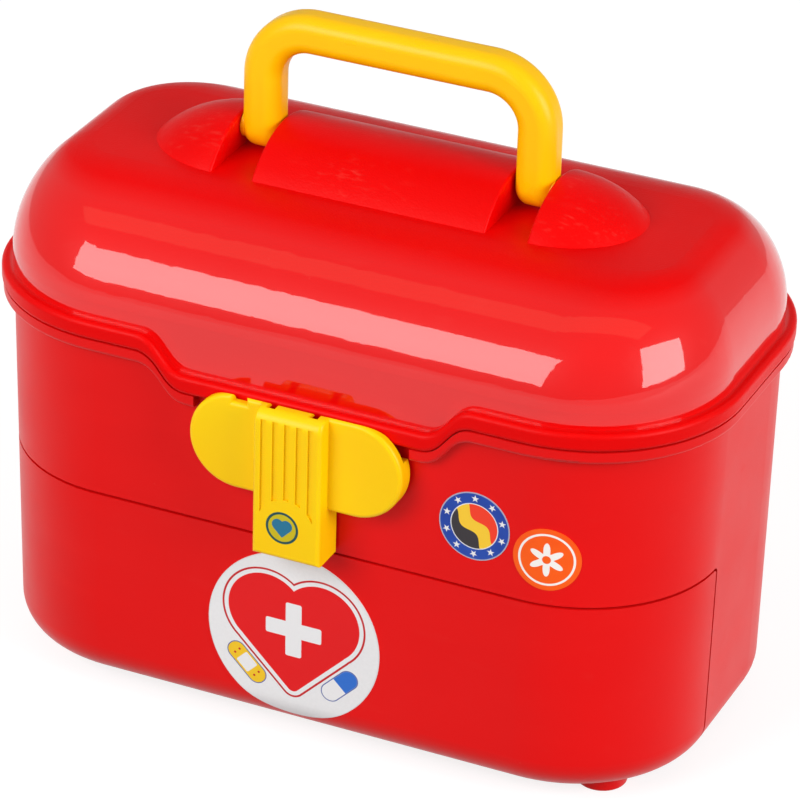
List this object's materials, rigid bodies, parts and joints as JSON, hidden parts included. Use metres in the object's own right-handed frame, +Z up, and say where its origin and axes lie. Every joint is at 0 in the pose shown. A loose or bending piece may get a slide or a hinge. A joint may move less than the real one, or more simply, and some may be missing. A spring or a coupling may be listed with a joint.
{
  "type": "toy doctor case",
  "caption": "Domed toy carrying case with a hinged lid, a swinging handle, a flip latch and a pull-out lower drawer.",
  "frame": {"origin": "on the table, under the middle of the case's length and depth", "axes": "+X along the case to the right as seen from the front, -Y to the front, +Z up"},
  "size_m": [0.2698, 0.171, 0.241],
  "materials": {
    "red_body": "satin moulded plastic",
    "red_lid": "glossy moulded plastic",
    "yellow": "satin moulded plastic",
    "pin_steel": "plain drawn wire",
    "label_white": "printed paper",
    "label_blue": "printed paper",
    "label_orange": "printed paper"
  },
  "bodies": {
    "case": {"case_shell": "red_body", "shelf": "red_body", "hinge_pin_left": "pin_steel", "hinge_pin_right": "pin_steel", "label_blue": "label_blue", "label_orange": "label_orange"},
    "drawer": {"drawer": "red_body", "label_front": "label_white"},
    "lid": {"lid": "red_lid"},
    "handle": {"handle": "yellow"},
    "latch": {"latch": "yellow"}
  },
  "joints": [
    {"name": "drawer_slide", "type": "slide", "parent": "case", "child": "drawer", "axis": [0, -1, 0], "range_m": [0, 0.09]},
    {"name": "lid_hinge", "type": "hinge", "parent": "case", "child": "lid", "pos_m": [0, 0.08095, 0.141], "axis": [-1, 0, 0], "range_deg": [0, 105]},
    {"name": "handle_pivot", "type": "hinge", "parent": "lid", "child": "handle", "pos_m": [0, 0, 0.1955], "axis": [1, 0, 0], "range_deg": [-90, 90]},
    {"name": "latch_pivot", "type": "hinge", "parent": "lid", "child": "latch", "pos_m": [0, -0.08115, 0.1316], "axis": [-1, 0, 0], "range_deg": [0, 100]}
  ]
}
